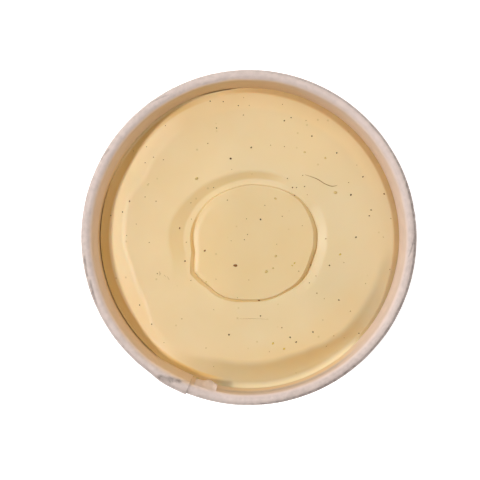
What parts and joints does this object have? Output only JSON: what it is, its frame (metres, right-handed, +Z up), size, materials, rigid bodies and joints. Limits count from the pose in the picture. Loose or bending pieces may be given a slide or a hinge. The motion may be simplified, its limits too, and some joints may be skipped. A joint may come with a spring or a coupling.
{
  "type": "ice cream cup",
  "caption": "Round paperboard tub with a rolled rim and a recessed foot, filled with smooth vanilla ice cream that keeps its round filling plug and dark vanilla grains.",
  "frame": {"origin": "centre of the tub's foot, on the plane it stands on", "axes": "+Z up along the tub's axis; +X to the picture's right and +Y to its top, with the camera looking straight down"},
  "size_m": [0.098, 0.098, 0.0984],
  "materials": {
    "paperboard": "smooth coated board, satin",
    "bottom_board": "smooth coated board, satin",
    "vanilla_ice_cream": "soft moist sheen"
  },
  "bodies": {
    "root": {"board_sleeve": "paperboard", "bottom_disc": "bottom_board", "ice_cream": "vanilla_ice_cream"}
  },
  "joints": []
}
